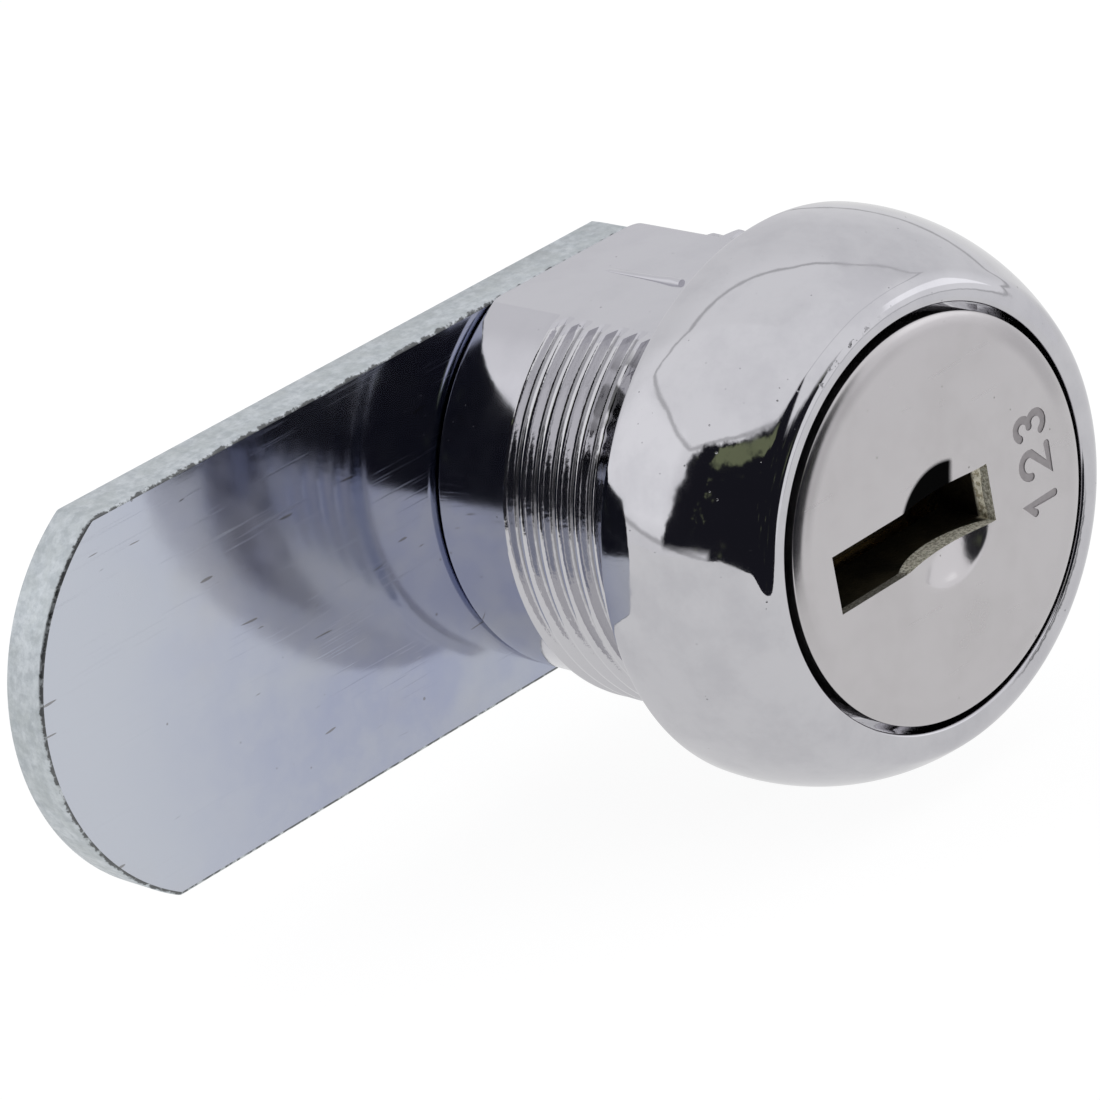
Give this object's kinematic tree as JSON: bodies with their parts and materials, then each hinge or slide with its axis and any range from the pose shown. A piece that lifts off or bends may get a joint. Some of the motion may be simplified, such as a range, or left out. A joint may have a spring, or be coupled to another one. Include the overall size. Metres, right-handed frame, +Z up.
{
  "type": "cam lock",
  "caption": "Wafer cam lock with a domed chrome head, a flatted threaded body and a flat steel cam that the plug swings through half a turn.",
  "frame": {"origin": "centre of the back of the head, in the plane that seats on the front of the panel", "axes": "+Y along the lock's axis from the face towards the cam, +Z up, the cam points along -X at rest"},
  "size_m": [0.0409, 0.0246, 0.0226],
  "materials": {
    "chrome_casting": "bright chrome plate on a zinc die casting",
    "satin_stainless": "satin, pressed sheet",
    "cast_brass": "as cast, fine grain",
    "stamped_brass": "stamped, bright",
    "spring_steel": "bright drawn wire",
    "zinc_plated_steel": "bluish zinc plate, fine scratches"
  },
  "bodies": {
    "housing": {"housing": "chrome_casting"},
    "plug": {"plug": "cast_brass", "plug_cap": "satin_stainless", "stop_washer": "zinc_plated_steel", "cam": "zinc_plated_steel", "lock_washer": "zinc_plated_steel", "cam_screw": "zinc_plated_steel", "wafer_spring_1": "spring_steel", "wafer_spring_2": "spring_steel", "wafer_spring_3": "spring_steel", "wafer_spring_4": "spring_steel", "wafer_spring_5": "spring_steel", "wafer_spring_6": "spring_steel", "wafer_spring_7": "spring_steel"},
    "wafer_1": {"wafer_1": "stamped_brass"},
    "wafer_2": {"wafer_2": "stamped_brass"},
    "wafer_3": {"wafer_3": "stamped_brass"},
    "wafer_4": {"wafer_4": "stamped_brass"},
    "wafer_5": {"wafer_5": "stamped_brass"},
    "wafer_6": {"wafer_6": "stamped_brass"},
    "wafer_7": {"wafer_7": "stamped_brass"}
  },
  "joints": [
    {"name": "plug_turn", "type": "hinge", "parent": "housing", "child": "plug", "pos_m": [0, 0, 0], "axis": [0, 1, 0], "range_deg": [0, 180]},
    {"name": "wafer_1_slide", "type": "slide", "parent": "plug", "child": "wafer_1", "axis": [1, 0, 0], "range_m": [0, 0.0008], "stiffness_N_per_m": 100, "springref_m": 0.0016, "deforming": ["wafer_spring_1"]},
    {"name": "wafer_2_slide", "type": "slide", "parent": "plug", "child": "wafer_2", "axis": [1, 0, 0], "range_m": [0, 0.0008], "stiffness_N_per_m": 100, "springref_m": 0.0016, "deforming": ["wafer_spring_2"]},
    {"name": "wafer_3_slide", "type": "slide", "parent": "plug", "child": "wafer_3", "axis": [1, 0, 0], "range_m": [0, 0.0008], "stiffness_N_per_m": 100, "springref_m": 0.0016, "deforming": ["wafer_spring_3"]},
    {"name": "wafer_4_slide", "type": "slide", "parent": "plug", "child": "wafer_4", "axis": [1, 0, 0], "range_m": [0, 0.0008], "stiffness_N_per_m": 100, "springref_m": 0.0016, "deforming": ["wafer_spring_4"]},
    {"name": "wafer_5_slide", "type": "slide", "parent": "plug", "child": "wafer_5", "axis": [1, 0, 0], "range_m": [0, 0.0008], "stiffness_N_per_m": 100, "springref_m": 0.0016, "deforming": ["wafer_spring_5"]},
    {"name": "wafer_6_slide", "type": "slide", "parent": "plug", "child": "wafer_6", "axis": [1, 0, 0], "range_m": [0, 0.0008], "stiffness_N_per_m": 100, "springref_m": 0.0016, "deforming": ["wafer_spring_6"]},
    {"name": "wafer_7_slide", "type": "slide", "parent": "plug", "child": "wafer_7", "axis": [1, 0, 0], "range_m": [0, 0.0008], "stiffness_N_per_m": 100, "springref_m": 0.0016, "deforming": ["wafer_spring_7"]}
  ]
}
